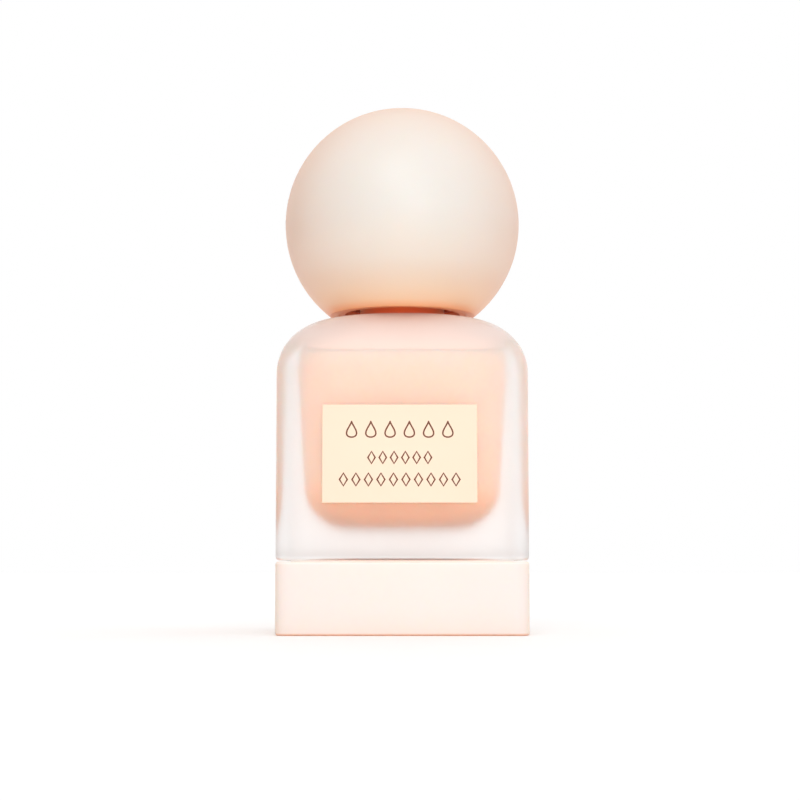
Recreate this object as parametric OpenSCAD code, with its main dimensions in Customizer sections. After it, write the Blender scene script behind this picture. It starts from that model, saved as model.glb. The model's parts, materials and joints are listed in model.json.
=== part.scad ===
// Foundation bottle: a square frosted-glass bottle glued on a low plinth, with a screw-on
// treatment pump and a pull-off ball cap.
// Frame: Z up, origin at the middle of the plinth's underside, label on the -Y face, millimetres.

/* [Glass bottle] */
// Side of the square bottle and of the plinth under it
bottle_w = 44; // [38:0.5:60]
// Height of the glass from its foot to the flat of the shoulder
glass_h = 44.5; // [36:0.5:70]
// Radius of the shoulder, seen from the front
shoulder_r = 12; // [9:0.5:13]
// Radius of the upright corners, seen from above
corner_r = 2.6; // [1:0.1:5]
// Rounding of the glass foot
foot_r = 0.7; // [0.3:0.1:2]
// Thickness of the side walls
side_wall = 3.6; // [2:0.1:6]
// Thickness of the glass under the liquid
bottom_wall = 5.6; // [3:0.1:9]
// Thickness of the glass over the liquid
shoulder_wall = 2.4; // [1.5:0.1:4]
// How much each side of the hollow leans in towards its floor
hollow_taper = 1.1; // [0:0.1:2]
// Radius between the walls and the floor of the hollow
hollow_floor_r = 7.5; // [4:0.5:8]
// Radius of the upright corners of the hollow
hollow_corner_r = 6.5; // [3:0.5:9]
// Distance from the hollow's ceiling down to the liquid
headspace = 2.2; // [1:0.1:8]

/* [Neck finish] */
// Diameter of the plain neck, 18 mm finish
neck_d = 15.7; // [15:0.1:19]
// Height of the neck above the shoulder
neck_h = 15.2; // [14:0.1:20]
// Height of the thread above the neck
thread_depth = 1.0; // [0.7:0.05:1.2]
// Rise of the thread in one turn
thread_pitch = 3.175; // [2.5:0.025:4]
// Turns of thread on the neck
thread_turns = 1.5; // [1:0.25:2]
// Fillet where the neck meets the shoulder
neck_fillet_r = 0.8; // [0.3:0.1:1.5]

/* [Plinth] */
// Height of the plinth
plinth_h = 12.7; // [8:0.1:20]
// Radius of the plinth's upright corners
plinth_corner_r = 2.2; // [1.5:0.1:5]
// Rounding of the plinth's top and bottom edges
plinth_edge_r = 0.4; // [0.2:0.05:0.8]
// Wall of the plinth shell
plinth_wall = 1.8; // [1.2:0.1:3]
// Thickness of the plinth's top
plinth_top_t = 2.0; // [1.2:0.1:3]
// Thickness of the closing plate
closing_plate_t = 1.5; // [1:0.1:2.5]
// How far the closing plate sits above the plinth's rim
closing_plate_inset = 0.6; // [0.3:0.1:1.5]
// Thickness of the ribs under the plinth's top
rib_t = 1.2; // [0.8:0.1:2]
// Distance from the middle to each locating peg
peg_offset = 12; // [9:0.5:14]
// Diameter of a locating peg
peg_d = 3.0; // [2:0.1:4]
// Length of a locating peg
peg_len = 5.0; // [2:0.1:5]
// Thickness of the adhesive sheet under the glass
glue_t = 0.2; // [0.1:0.05:0.5]

/* [Label] */
// Width of the label plate
label_w = 26.8; // [15:0.1:34]
// Height of the label plate
label_h = 17.0; // [10:0.1:24]
// Thickness of the label plate
label_t = 0.4; // [0.2:0.05:1]
// Thickness of the label's adhesive
label_glue_t = 0.1; // [0.05:0.05:0.3]
// Distance from where the shoulder starts down to the label's top edge
label_drop = 5.6; // [1:0.1:8]
// Sideways offset of the label from the middle
label_shift = -0.45; // [-2:0.05:2]

/* [Pump] */
// Travel of the actuator
stroke = 4.0; // [2.5:0.1:5]
// Bore of the pump housing
pump_bore_d = 7.2; // [6.2:0.1:8.8]
// Wall of the pump housing
housing_wall = 0.8; // [0.6:0.1:1.2]
// Thickness of the housing's flange
flange_t = 1.1; // [0.8:0.1:1.6]
// Thickness of the gasket on the glass lip
gasket_t = 0.8; // [0.5:0.1:1.5]
// Length of the spring at rest
spring_len = 9.0; // [8:0.1:11]
// Wire of the spring
spring_wire_d = 0.5; // [0.35:0.05:0.6]
// Turns of the spring
spring_turns = 7; // [5:1:8]
// Height of the piston
piston_h = 3.0; // [2.4:0.1:4]
// Diameter of the upper stem
stem_d = 4.8; // [4.2:0.1:5]
// Diameter of the check ball
check_ball_d = 3.2; // [2.5:0.1:3.4]
// Lift of the check ball off its seat
check_ball_lift = 0.9; // [0.5:0.1:1.2]
// Outside diameter of the dip tube
dip_tube_d = 3.0; // [2.5:0.1:3.4]
// Inside diameter of the dip tube
dip_tube_bore_d = 1.8; // [1:0.1:2]
// Gap between the dip tube's end and the glass floor
dip_tube_gap = 1.2; // [0.8:0.1:3]

/* [Closure] */
// Wall of the screw closure
closure_wall = 0.9; // [0.8:0.1:1.5]
// Thickness of the closure's top
closure_top_t = 1.2; // [0.8:0.1:2]
// Height of the closure's lower edge above the shoulder
closure_rise = 2.3; // [2:0.1:4]
// Thickness of the collar sleeve
sleeve_t = 0.6; // [0.4:0.1:1]

/* [Actuator] */
// Diameter of the actuator
actuator_d = 14; // [13.4:0.1:15]
// Height of the actuator
actuator_h = 7.8; // [7.6:0.1:9]
// Reach of the nozzle's tip from the axis
nozzle_reach = 8.6; // [7.8:0.1:9]
// Outside diameter of the nozzle
nozzle_d = 4.4; // [4:0.1:5]
// Hole of the nozzle insert
orifice_d = 1.2; // [0.8:0.1:1.6]

/* [Ball cap] */
// Diameter of the ball
ball_d = 43.6; // [43:0.1:60]
// Gap between the cap's rim and the shoulder
cap_gap = 0.9; // [0.5:0.1:2]
// Wall of the ball
ball_wall = 2.0; // [1.4:0.1:2.6]
// Width of the flat rim outside the liner
rim_land = 1.6; // [1.2:0.1:3]
// Wall of the liner
liner_wall = 1.2; // [0.8:0.1:1.6]
// Length of the bowl's collar that holds the liner
liner_collar_h = 8; // [4:0.5:10]
// Height of the lap joint between dome and bowl
lap_h = 1.5; // [1:0.1:3]

/* [Clearances] */
// Between pieces that slide in each other
slide_gap = 0.05; // [0.02:0.01:0.1]
// Between pieces that are glued or pressed together
seat_gap = 0.02; // [0.01:0.01:0.05]
// Between the two threads, across their crests
thread_gap = 0.25; // [0.2:0.05:0.4]
// Between the liquid and the pieces that hang in it
liquid_gap = 0.4; // [0.2:0.05:0.8]

/* [Hidden] */

cream = [0.97, 0.92, 0.86];
frosted = [0.93, 0.90, 0.88, 0.5];
peach = [0.95, 0.80, 0.68];
natural = [0.94, 0.94, 0.92];
steel = [0.75, 0.76, 0.78];
champagne = [0.86, 0.78, 0.66];
over = 0.1;        // how far a cutter runs past what it cuts
arc_steps = 10;    // slices in a quarter round
round_fn = 96;

// Heights, from the floor up
glass_z = plinth_h + glue_t;
shoulder_z = glass_z + glass_h;
neck_top = shoulder_z + neck_h;
flange_z = neck_top + gasket_t;
flange_top = flange_z + flange_t;
retainer_flange_t = 0.8;
closure_ceiling = flange_top + retainer_flange_t;
closure_top = closure_ceiling + closure_top_t;
sleeve_top = closure_top + sleeve_t;
closure_z = shoulder_z + closure_rise;

// Hollow of the glass
hollow_w = bottle_w / 2 - side_wall;
hollow_z = glass_z + bottom_wall;
hollow_top = shoulder_z - shoulder_wall;
hollow_top_r = shoulder_r - side_wall + 0.6;
liquid_top = hollow_top - headspace;
hollow_steps = 7;      // slices in each of the hollow's rounds
level_angle = asin(1 - headspace / hollow_top_r);   // where the liquid meets the ceiling's round
wet_angles = [for (i = [0 : hollow_steps]) level_angle * i / hollow_steps];
dry_angles = [for (i = [1 : 3]) level_angle + (90 - level_angle) * i / 3];

// Small lands and clearances of the pump
neck_bore_gap = 0.6;      // round the housing in the neck's bore
flange_inset = 0.15;      // of the flange from the neck's outside
guide_depth = 3.4;        // of the stem guide below the flange's top
spring_bore_gap = 0.45;   // round the spring in the housing
cage_gap = 0.4;           // round the check ball
cage_head_gap = 0.2;      // over the check ball when it has lifted
seat_web = 1.0;           // between the ball's seat and the tube's socket
stem_play = 0.03;         // between the piston and the stem's foot
turret_wall_gap = 0.1;    // round the turret in the closure's top
pressed_gap = 0.2;        // left under the actuator when it is pressed

// Pump, from the flange down
bore_r = pump_bore_d / 2;
housing_r = bore_r + housing_wall;
neck_bore_r = housing_r + neck_bore_gap;
neck_r = neck_d / 2;
flange_r = neck_r - flange_inset;
guide_z = flange_top - guide_depth;
piston_top = guide_z - slide_gap;
piston_z = piston_top - piston_h;
stem_foot_t = 1.0;
stem_foot_top = piston_z - stem_play;
stem_foot_z = stem_foot_top - stem_foot_t;
spring_z = stem_foot_z - spring_len;
spring_r = bore_r - spring_bore_gap - spring_wire_d / 2;
ball_r = check_ball_d / 2;
cage_r = ball_r + cage_gap;
cage_lip_r = ball_r - 0.15;
cage_lip_t = 0.3;
cage_wall = 1.0;
seat_r = ball_r - 0.6;
seat_apex_z = spring_z - cage_lip_t - cage_head_gap - check_ball_lift - ball_r * (1 + sqrt(2));
ball_z = seat_apex_z + ball_r * sqrt(2) + seat_gap;
seat_z = seat_apex_z + seat_r;
cage_z = seat_apex_z + cage_r;
tube_r = dip_tube_d / 2;
socket_top = seat_z - seat_web;
socket_len = 7;
socket_z = socket_top - socket_len;
socket_wall = 0.8;
tube_z = hollow_z + dip_tube_gap;

// Closure and thread
thread_r = neck_r + thread_depth;
closure_ir = thread_r + thread_gap;
closure_or = closure_ir + closure_wall;
sleeve_ir = closure_or + seat_gap;
sleeve_or = sleeve_ir + sleeve_t;
thread_seg = 30;      // chords in one turn of thread
thread_top_land = 1.4;  // plain neck over the thread
thread_start = neck_top - thread_top_land - thread_turns * thread_pitch - 1;
inner_thread_drop = 1.15;
inner_thread_r = neck_r + 0.35;

// Stem and actuator
stem_r = stem_d / 2;
lower_stem_r = 1.7;
stem_channel_r = 1.0;
port_r = 0.4;
actuator_r = actuator_d / 2;
actuator_z = sleeve_top + stroke + pressed_gap;
actuator_top = actuator_z + actuator_h;
turret_r = 5.0;
turret_top = actuator_z - 0.9;
turret_hollow_z = sleeve_top + 0.4;
boss_r = stem_r + 1.0;
skirt_ceiling = turret_top + stroke + 0.3;
stem_top = skirt_ceiling + 1.0;
channel_z = actuator_top - nozzle_d / 2 - 0.4;
insert_r = nozzle_d / 2 - 0.7;
insert_len = 2.6;

// Ball cap
cap_r = ball_d / 2;
cap_ir = cap_r - ball_wall;
liner_ir = sleeve_or + slide_gap;
liner_or = liner_ir + liner_wall;
rim_z = shoulder_z + cap_gap;
rim_r = liner_or + rim_land;
cap_z = rim_z + sqrt(cap_r * cap_r - rim_r * rim_r);
liner_z = rim_z + 0.2;
liner_step = sleeve_top + slide_gap;
chamber_r = nozzle_reach + 0.5;
liner_ceiling = actuator_top + 0.9;
liner_top = liner_ceiling + liner_wall;
collar_wall = 1.1;
dome_boss_r = 5.2;
dome_boss_ir = 4.0;

// The four corner rounds of one square slice of a hull: half side w, corner radius r, height z.
// Each is a cone whose tip points inwards (1 up, -1 down), so that only its rim shapes the hull.
module corner_rounds(w, r, z, tip) {
    for (x = [-1, 1], y = [-1, 1])
        translate([x * (w - r), y * (w - r), z])
            rotate([tip > 0 ? 0 : 180, 0, 0])
                cylinder(r1 = r, r2 = 0, h = 1, $fn = 32);
}

// A square plate with round corners and true faces
module rounded_plate(side, r, t) {
    linear_extrude(t) {
        square([side - 2 * r, side], center = true);
        square([side, side - 2 * r], center = true);
        for (x = [-1, 1], y = [-1, 1])
            translate([x * (side / 2 - r), y * (side / 2 - r)])
                circle(r = r, $fn = 48);
    }
}

// Tube between two heights
module tube(r_out, r_in, z_low, z_high) {
    translate([0, 0, z_low])
        difference() {
            cylinder(r = r_out, h = z_high - z_low, $fn = round_fn);
            translate([0, 0, -over])
                cylinder(r = r_in, h = z_high - z_low + 2 * over, $fn = round_fn);
        }
}

// Round rod whose top edge is rounded
module rounded_rod(r, z_low, z_high, edge) {
    rotate_extrude($fn = round_fn) {
        translate([0, z_low])
            square([r, z_high - z_low - edge]);
        translate([0, z_low])
            square([r - edge, z_high - z_low]);
        translate([r - edge, z_high - edge])
            circle(r = edge, $fn = 48);
    }
}

// Round rod or round cutter between two heights
module rod(r, z_low, z_high) {
    translate([0, 0, z_low])
        cylinder(r = r, h = z_high - z_low, $fn = round_fn);
}

// A helical rib whose section is a trapezium: r0 and w0 at its root, r1 and w1 at its crest
module thread_rib(r0, w0, r1, w1, z_start, turns) {
    n = ceil(turns * thread_seg);
    section = [[r0, -w0], [r1, -w1], [r1, w1], [r0, w0]];
    points = [for (i = [0 : n], s = section)
        let (a = 360 * turns * i / n)
        [s[0] * cos(a), s[0] * sin(a), z_start + thread_pitch * a / 360 + s[1]]];
    sides = [for (i = [0 : n - 1], k = [0 : 3])
        let (a = 4 * i + k, b = 4 * i + (k + 1) % 4)
        [a, b, b + 4, a + 4]];
    ends = [[3, 2, 1, 0], [4 * n, 4 * n + 1, 4 * n + 2, 4 * n + 3]];
    polyhedron(points = points, faces = concat(sides, ends), convexity = 6);
}

// Outside of the glass below the neck: square with a round foot and a round shoulder that
// turns from a square into a circle
module glass_outside() {
    w = bottle_w / 2;
    top_w = w - shoulder_r;
    hull() {
        for (i = [0 : 4])
            let (a = 90 * i / 4, inset = foot_r * (1 - sin(a)))
            corner_rounds(w - inset, max(corner_r - inset, 0.3), glass_z + foot_r * (1 - cos(a)), 1);
        for (i = [0 : arc_steps])
            let (a = 90 * i / arc_steps, s = sin(a))
            corner_rounds(w - shoulder_r * (1 - cos(a)), corner_r + (top_w - corner_r) * s * s,
                shoulder_z - shoulder_r * (1 - s), -1);
    }
}

// The hollow inside the glass, or the liquid in it, which is shrunk by gap and ends at its level.
// top_angles are the angles of the ceiling round's slices.
module glass_hollow(gap, top_angles) {
    low_w = hollow_w - hollow_taper - gap;
    high_w = hollow_w - gap;
    hull() {
        for (i = [0 : hollow_steps])
            let (a = 90 * i / hollow_steps, w = low_w - hollow_floor_r * (1 - sin(a)))
            corner_rounds(w, min(w - 0.1, hollow_corner_r + hollow_floor_r * (1 - sin(a)) * 0.4),
                hollow_z + gap + hollow_floor_r * (1 - cos(a)), 1);
        for (a = top_angles)
            let (s = sin(a), w = high_w - hollow_top_r * (1 - cos(a)))
            corner_rounds(w, hollow_corner_r + (high_w - hollow_top_r - hollow_corner_r) * s * s,
                hollow_top - gap - hollow_top_r * (1 - s), -1);
    }
}

module glass_bottle() {
    color(frosted)
        difference() {
            union() {
                glass_outside();
                rod(neck_r, shoulder_z - 1, neck_top);
                neck_fillet();
                thread_rib(neck_r - 0.3, 0.95, thread_r, 0.4, thread_start, thread_turns);
            }
            glass_hollow(0, concat(wet_angles, dry_angles));
            rod(neck_bore_r, hollow_top - 1, neck_top + over);
        }
}

// Concave ring that eases the neck into the shoulder. It meets the shoulder at a shallow angle.
module neck_fillet() {
    sunk = 0.15 * neck_fillet_r;
    translate([0, 0, shoulder_z - sunk])
        rotate_extrude($fn = round_fn)
            difference() {
                translate([neck_r - 0.2, -0.1])
                    square([neck_fillet_r + 0.2, neck_fillet_r + 0.1]);
                translate([neck_r + neck_fillet_r, neck_fillet_r])
                    circle(r = neck_fillet_r, $fn = 48);
            }
}

module foundation_liquid() {
    color(peach)
        difference() {
            glass_hollow(seat_gap, wet_angles);
            rod(tube_r + socket_wall + liquid_gap, tube_z - liquid_gap, liquid_top + over);
        }
}

module plinth_shell() {
    w = bottle_w / 2;
    cavity_side = bottle_w - 2 * plinth_wall;
    rib_z = closing_plate_inset + closing_plate_t + 0.4;
    cavity_top = plinth_h - plinth_top_t;
    color(cream) {
        difference() {
            hull()
                for (i = [0 : 3])
                    let (a = 90 * i / 3, inset = plinth_edge_r * (1 - sin(a)))
                    {
                        corner_rounds(w - inset, plinth_corner_r - inset, plinth_edge_r * (1 - cos(a)), 1);
                        corner_rounds(w - inset, plinth_corner_r - inset,
                            plinth_h - plinth_edge_r * (1 - cos(a)), -1);
                    }
            translate([0, 0, -over])
                rounded_plate(cavity_side, 1, cavity_top + over);
        }
        difference() {
            union() {
                translate([-rib_t / 2, -cavity_side / 2 - 0.2, rib_z])
                    cube([rib_t, cavity_side + 0.4, cavity_top - rib_z + 0.2]);
                translate([-cavity_side / 2 - 0.2, -rib_t / 2, rib_z])
                    cube([cavity_side + 0.4, rib_t, cavity_top - rib_z + 0.2]);
                for (x = [-1, 1], y = [-1, 1])
                    translate([x * peg_offset, y * peg_offset, rib_z])
                        cylinder(d = peg_d + 2.6, h = cavity_top - rib_z + 0.2, $fn = 48);
            }
            for (x = [-1, 1], y = [-1, 1])
                translate([x * peg_offset, y * peg_offset, rib_z - over])
                    cylinder(d = peg_d + 2 * seat_gap, h = cavity_top - rib_z, $fn = 48);
        }
    }
}

module plinth_closing_plate() {
    side = bottle_w - 2 * plinth_wall - 2 * slide_gap;
    color(cream) {
        translate([0, 0, closing_plate_inset])
            rounded_plate(side, 0.95, closing_plate_t);
        for (x = [-1, 1], y = [-1, 1])
            translate([x * peg_offset, y * peg_offset, closing_plate_inset + closing_plate_t - over])
                cylinder(d = peg_d, h = peg_len + over, $fn = 48);
    }
}

module plinth_adhesive() {
    color("white")
        translate([0, 0, plinth_h])
            rounded_plate(bottle_w - 5, 3, glue_t);
}

// A thin upright plate on the front face: width, height, thickness and the y of its back
module front_plate(w, h, t, y_back, r) {
    translate([label_shift, y_back, shoulder_z - shoulder_r - label_drop - label_h / 2])
        rotate([90, 0, 0])
            linear_extrude(t) {
                square([w - 2 * r, h], center = true);
                square([w, h - 2 * r], center = true);
                for (x = [-1, 1], y = [-1, 1])
                    translate([x * (w / 2 - r), y * (h / 2 - r)])
                        circle(r = r, $fn = 24);
            }
}

module label_adhesive() {
    color("white")
        front_plate(label_w - 0.8, label_h - 0.8, label_glue_t, -bottle_w / 2, 0.2);
}

module label_plate() {
    color([0.99, 0.94, 0.83])
        front_plate(label_w, label_h, label_t, -bottle_w / 2 - label_glue_t, 0.15);
}

module neck_gasket() {
    color("white")
        tube(neck_r - 0.05, neck_bore_r + 0.1, neck_top, flange_z);
}

module pump_housing() {
    outer = [[flange_r, flange_top], [flange_r, flange_z], [housing_r, flange_z],
        [housing_r, spring_z - 0.5], [cage_r + cage_wall, spring_z - 2.4],
        [cage_r + cage_wall, seat_z - 0.6], [tube_r + socket_wall, seat_z - 0.6],
        [tube_r + socket_wall, socket_z]];
    inner = [[tube_r + seat_gap, socket_z], [tube_r + seat_gap, socket_top],
        [seat_r, socket_top], [seat_r, seat_z], [cage_r, cage_z],
        [cage_r, spring_z - cage_lip_t], [cage_lip_r, spring_z - cage_lip_t],
        [cage_lip_r, spring_z], [bore_r, spring_z], [bore_r, flange_top]];
    color(natural)
        rotate_extrude($fn = round_fn)
            polygon(concat(outer, inner));
}

module housing_retainer() {
    snap_r = closure_ir - thread_gap;
    color(natural)
        difference() {
            union() {
                rod(bore_r - seat_gap, guide_z, flange_top + 0.1);
                rod(snap_r, flange_z + 0.2, closure_ceiling - seat_gap);
                rod(turret_r, closure_ceiling - 0.1, turret_top);
            }
            translate([0, 0, flange_z])
                difference() {
                    rod(flange_r + seat_gap, -over, flange_t + seat_gap);
                    rod(bore_r - seat_gap, -2 * over, flange_t + 1);
                }
            rod(stem_r + slide_gap, guide_z - over, turret_top + over);
            rod(boss_r + 0.2, turret_hollow_z, turret_top + over);
        }
}

module dip_tube() {
    color(natural)
        difference() {
            tube(tube_r, dip_tube_bore_d / 2, tube_z, socket_top - 0.1);
            translate([0, 0, tube_z])
                rotate([0, 30, 0])
                    translate([-10, -10, -20.9])
                        cube([20, 20, 20]);
        }
}

module check_ball() {
    color(steel)
        translate([0, 0, ball_z])
            sphere(r = ball_r, $fn = 48);
}

// Round wire wound to a helix, with its last half turns laid flat
module return_spring() {
    seg = 14;
    sides = 6;
    n = spring_turns * seg;
    wire_r = spring_wire_d / 2;
    low = spring_z + wire_r + seat_gap;
    rise = spring_len - 2 * wire_r - 2 * seat_gap;
    flat = 0.5 * seg;
    points = [for (i = [0 : n], k = [0 : sides - 1])
        let (a = 360 * i / seg, b = 360 * k / sides, r = spring_r + wire_r * cos(b),
            t = min(max((i - flat) / (n - 2 * flat), 0), 1))
        [r * cos(a), r * sin(a), low + rise * t + wire_r * sin(b)]];
    walls = [for (i = [0 : n - 1], k = [0 : sides - 1])
        let (a = sides * i + k, b = sides * i + (k + 1) % sides)
        [a, b, b + sides, a + sides]];
    ends = [[for (k = [sides - 1 : -1 : 0]) k], [for (k = [0 : sides - 1]) sides * n + k]];
    color(steel)
        polyhedron(points = points, faces = concat(walls, ends), convexity = 10);
}

module piston() {
    lip = bore_r - slide_gap;
    waist = bore_r - 0.6;
    core = lower_stem_r + slide_gap;
    color(natural)
        rotate_extrude($fn = round_fn)
            polygon([[core, piston_z], [waist - 0.5, piston_z], [waist - 0.2, piston_z + 0.6],
                [lip - 0.2, piston_z], [lip, piston_z], [lip, piston_z + 0.5],
                [waist, piston_z + 1.1], [waist, piston_top - 1.1], [lip, piston_top - 0.5],
                [lip, piston_top], [lip - 0.2, piston_top], [waist - 0.2, piston_top - 0.6],
                [waist - 0.5, piston_top], [core, piston_top]]);
}

module pump_stem() {
    foot_r_out = bore_r - 0.6;
    shoulder = piston_top + 0.1;
    color(natural)
        difference() {
            union() {
                rod(lower_stem_r, stem_foot_z, shoulder + 0.1);
                rod(foot_r_out, stem_foot_z, stem_foot_top);
                rod(spring_r - spring_wire_d / 2 - 0.3, stem_foot_z - 1.2, stem_foot_z + 0.1);
                rod(stem_r, shoulder, stem_top);
            }
            rod(stem_channel_r, stem_foot_top + 0.2, stem_top + over);
            translate([0, 0, stem_foot_top + 0.2 + port_r])
                rotate([0, 90, 0])
                    cylinder(r = port_r, h = 4 * lower_stem_r, center = true, $fn = 24);
        }
}

module screw_closure() {
    color(natural)
        union() {
            difference() {
                rod(closure_or, closure_z, closure_top);
                rod(closure_ir, closure_z - over, closure_ceiling);
                rod(turret_r + turret_wall_gap, closure_ceiling - over, closure_top + over);
            }
            thread_rib(inner_thread_r, 0.3, closure_ir + 0.25, 0.75,
                thread_start - inner_thread_drop, 1);
        }
}

module collar_sleeve() {
    color(champagne)
        difference() {
            rounded_rod(sleeve_or, closure_z, sleeve_top, 0.5);
            rod(sleeve_ir, closure_z - over, closure_top + seat_gap);
            rod(turret_r + 1.4, closure_top - over, sleeve_top + over);
        }
}

module actuator() {
    dish_r = 22;
    color(cream)
        difference() {
            union() {
                rounded_rod(actuator_r, actuator_z, actuator_top, 0.9);
                translate([0, 0, channel_z])
                    rotate([90, 0, 0])
                        cylinder(d = nozzle_d, h = nozzle_reach, $fn = 48);
            }
            difference() {
                rod(turret_r + 0.3, actuator_z - over, skirt_ceiling);
                rod(boss_r, actuator_z - 2 * over, skirt_ceiling + over);
            }
            rod(stem_r + seat_gap, actuator_z - over, stem_top + seat_gap);
            rod(boss_r + over, actuator_z - over, actuator_z + 0.8);
            rod(stem_channel_r, stem_top - over, channel_z);
            translate([0, 0, channel_z])
                rotate([90, 0, 0]) {
                    cylinder(r = 0.8, h = nozzle_reach + over, $fn = 32);
                    translate([0, 0, nozzle_reach - insert_len])
                        cylinder(r = insert_r + seat_gap, h = insert_len + over, $fn = 48);
                }
            translate([0, 0, actuator_top + dish_r - 0.5])
                sphere(r = dish_r, $fn = 120);
        }
}

module nozzle_insert() {
    color("white")
        translate([0, -nozzle_reach + insert_len, channel_z])
            rotate([90, 0, 0])
                difference() {
                    cylinder(r = insert_r, h = insert_len + 0.2, $fn = 48);
                    translate([0, 0, -over])
                        cylinder(d = orifice_d, h = insert_len + 1, $fn = 32);
                }
}

module cap_liner() {
    color(cream)
        difference() {
            union() {
                rod(liner_or - seat_gap, liner_z, liner_step + liner_wall);
                rod(chamber_r + liner_wall, liner_step, liner_top);
            }
            rod(liner_ir, liner_z - over, liner_step);
            rod(chamber_r, liner_step - over, liner_ceiling);
        }
}

// Hollow ball shell with true spherical faces
module ball_shell() {
    translate([0, 0, cap_z])
        difference() {
            sphere(r = cap_r, $fn = 160);
            sphere(r = cap_ir, $fn = 160);
        }
}

module cap_bowl() {
    lap_r = cap_r - ball_wall / 2;
    color(cream) {
        difference() {
            intersection() {
                ball_shell();
                translate([0, 0, rim_z])
                    cylinder(r = ball_d, h = cap_z - rim_z, $fn = 48);
            }
            rod(liner_or, rim_z - over, rim_z + liner_collar_h);
        }
        tube(liner_or + collar_wall, liner_or, rim_z + 0.9, rim_z + liner_collar_h);
        tube(lap_r, cap_ir, cap_z - 0.8, cap_z + lap_h);
    }
}

module cap_dome() {
    lap_r = cap_r - ball_wall / 2;
    color(cream)
        difference() {
            union() {
                intersection() {
                    ball_shell();
                    translate([0, 0, cap_z])
                        cylinder(r = ball_d, h = cap_r + 1, $fn = 48);
                }
                intersection() {
                    translate([0, 0, cap_z])
                        sphere(r = cap_r - ball_wall / 2, $fn = 160);
                    tube(dome_boss_r, dome_boss_ir, liner_top + seat_gap, cap_z + cap_r);
                }
            }
            rod(lap_r + seat_gap, cap_z - over, cap_z + lap_h + seat_gap);
        }
}

plinth_shell();
plinth_closing_plate();
plinth_adhesive();
glass_bottle();
foundation_liquid();
label_adhesive();
label_plate();
neck_gasket();
pump_housing();
housing_retainer();
dip_tube();
check_ball();
return_spring();
piston();
pump_stem();
screw_closure();
collar_sleeve();
actuator();
nozzle_insert();
cap_liner();
cap_bowl();
cap_dome();
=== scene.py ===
"""Foundation bottle: the looks of every piece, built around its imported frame, in metres."""
import json
from math import asin, atan2, cos, pi, radians, sin, sqrt, tan

import bpy
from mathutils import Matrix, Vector

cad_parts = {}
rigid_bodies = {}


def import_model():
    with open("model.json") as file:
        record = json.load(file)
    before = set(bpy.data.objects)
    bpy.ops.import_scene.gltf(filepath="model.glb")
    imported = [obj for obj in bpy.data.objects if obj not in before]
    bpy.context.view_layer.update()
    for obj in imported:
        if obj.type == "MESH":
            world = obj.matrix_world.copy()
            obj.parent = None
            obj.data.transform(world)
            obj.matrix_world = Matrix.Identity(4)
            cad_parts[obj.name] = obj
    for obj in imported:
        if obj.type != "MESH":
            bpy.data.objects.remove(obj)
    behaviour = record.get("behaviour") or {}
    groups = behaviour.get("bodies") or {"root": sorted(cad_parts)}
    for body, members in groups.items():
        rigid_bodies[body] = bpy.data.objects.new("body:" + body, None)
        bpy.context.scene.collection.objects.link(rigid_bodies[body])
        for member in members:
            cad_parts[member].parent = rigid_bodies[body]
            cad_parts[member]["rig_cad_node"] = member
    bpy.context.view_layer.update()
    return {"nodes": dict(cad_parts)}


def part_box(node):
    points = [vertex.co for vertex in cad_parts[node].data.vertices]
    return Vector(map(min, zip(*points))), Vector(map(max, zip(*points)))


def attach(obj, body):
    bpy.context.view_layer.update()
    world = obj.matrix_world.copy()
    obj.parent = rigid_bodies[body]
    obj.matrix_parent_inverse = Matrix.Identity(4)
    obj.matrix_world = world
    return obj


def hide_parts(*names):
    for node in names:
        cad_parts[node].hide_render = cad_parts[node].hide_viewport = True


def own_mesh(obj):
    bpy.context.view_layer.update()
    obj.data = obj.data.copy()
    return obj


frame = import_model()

MM = 0.001


# ---------------------------------------------------------------------------------------
# Plinth shell. The low block under the bottle, injection moulded in cream plastic and open
# underneath. On the real shell four ribbed bosses inside take the pegs of the closing plate; this
# block leaves them out.

def round_square(half, corner, z, points=128):
    """One ring of points at height z: a square of that half side with round corners.
    The directions crowd towards the corners, so that a small radius stays round."""
    crowding = 1.6
    corner = min(corner, half)
    flat = half - corner
    eighth = points // 8
    ring = []
    for i in range(points):
        quarter, step = divmod(i, 2 * eighth)
        t = abs(step - eighth) / eighth
        away = radians(45) * t ** crowding
        turn = radians(45) - away
        if half * tan(turn) <= flat:
            reach = half / cos(turn)
        else:
            both = cos(turn) + sin(turn)
            reach = flat * both + sqrt(max(corner ** 2 - flat ** 2 * (2 - both ** 2), 0))
        side = away if step > eighth else -away
        angle = radians(90) * quarter + radians(45) + side
        ring.append((reach * cos(angle), reach * sin(angle), z))
    return ring


def arc(centre, radius, start, stop, steps):
    """Points of an arc in a profile's plane, angles in degrees."""
    turns = [radians(start + (stop - start) * i / steps) for i in range(steps + 1)]
    return [(centre[0] + radius * cos(a), centre[1] + radius * sin(a)) for a in turns]


def loft(name, rings):
    """A closed smooth skin through the rings. A ring of one point closes an end."""
    vertices, faces, starts = [], [], []
    for ring in rings:
        starts.append(len(vertices))
        vertices.extend(ring)
    pairs = [(i, i + 1) for i in range(len(rings) - 1)]
    if len(rings[0]) > 1 and len(rings[-1]) > 1:
        pairs.append((len(rings) - 1, 0))
    for a, b in pairs:
        low, high = starts[a], starts[b]
        count = max(len(rings[a]), len(rings[b]))
        for i in range(count):
            j = (i + 1) % count
            if len(rings[a]) == 1:
                faces.append((low, high + j, high + i))
            elif len(rings[b]) == 1:
                faces.append((low + i, low + j, high))
            else:
                faces.append((low + i, low + j, high + j, high + i))
    mesh = bpy.data.meshes.new(name)
    mesh.from_pydata(vertices, [], faces)
    mesh.validate()
    mesh.shade_smooth()
    mesh.set_sharp_from_angle(angle=radians(40))
    piece = bpy.data.objects.new(name, mesh)
    bpy.context.scene.collection.objects.link(piece)
    return piece


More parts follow.
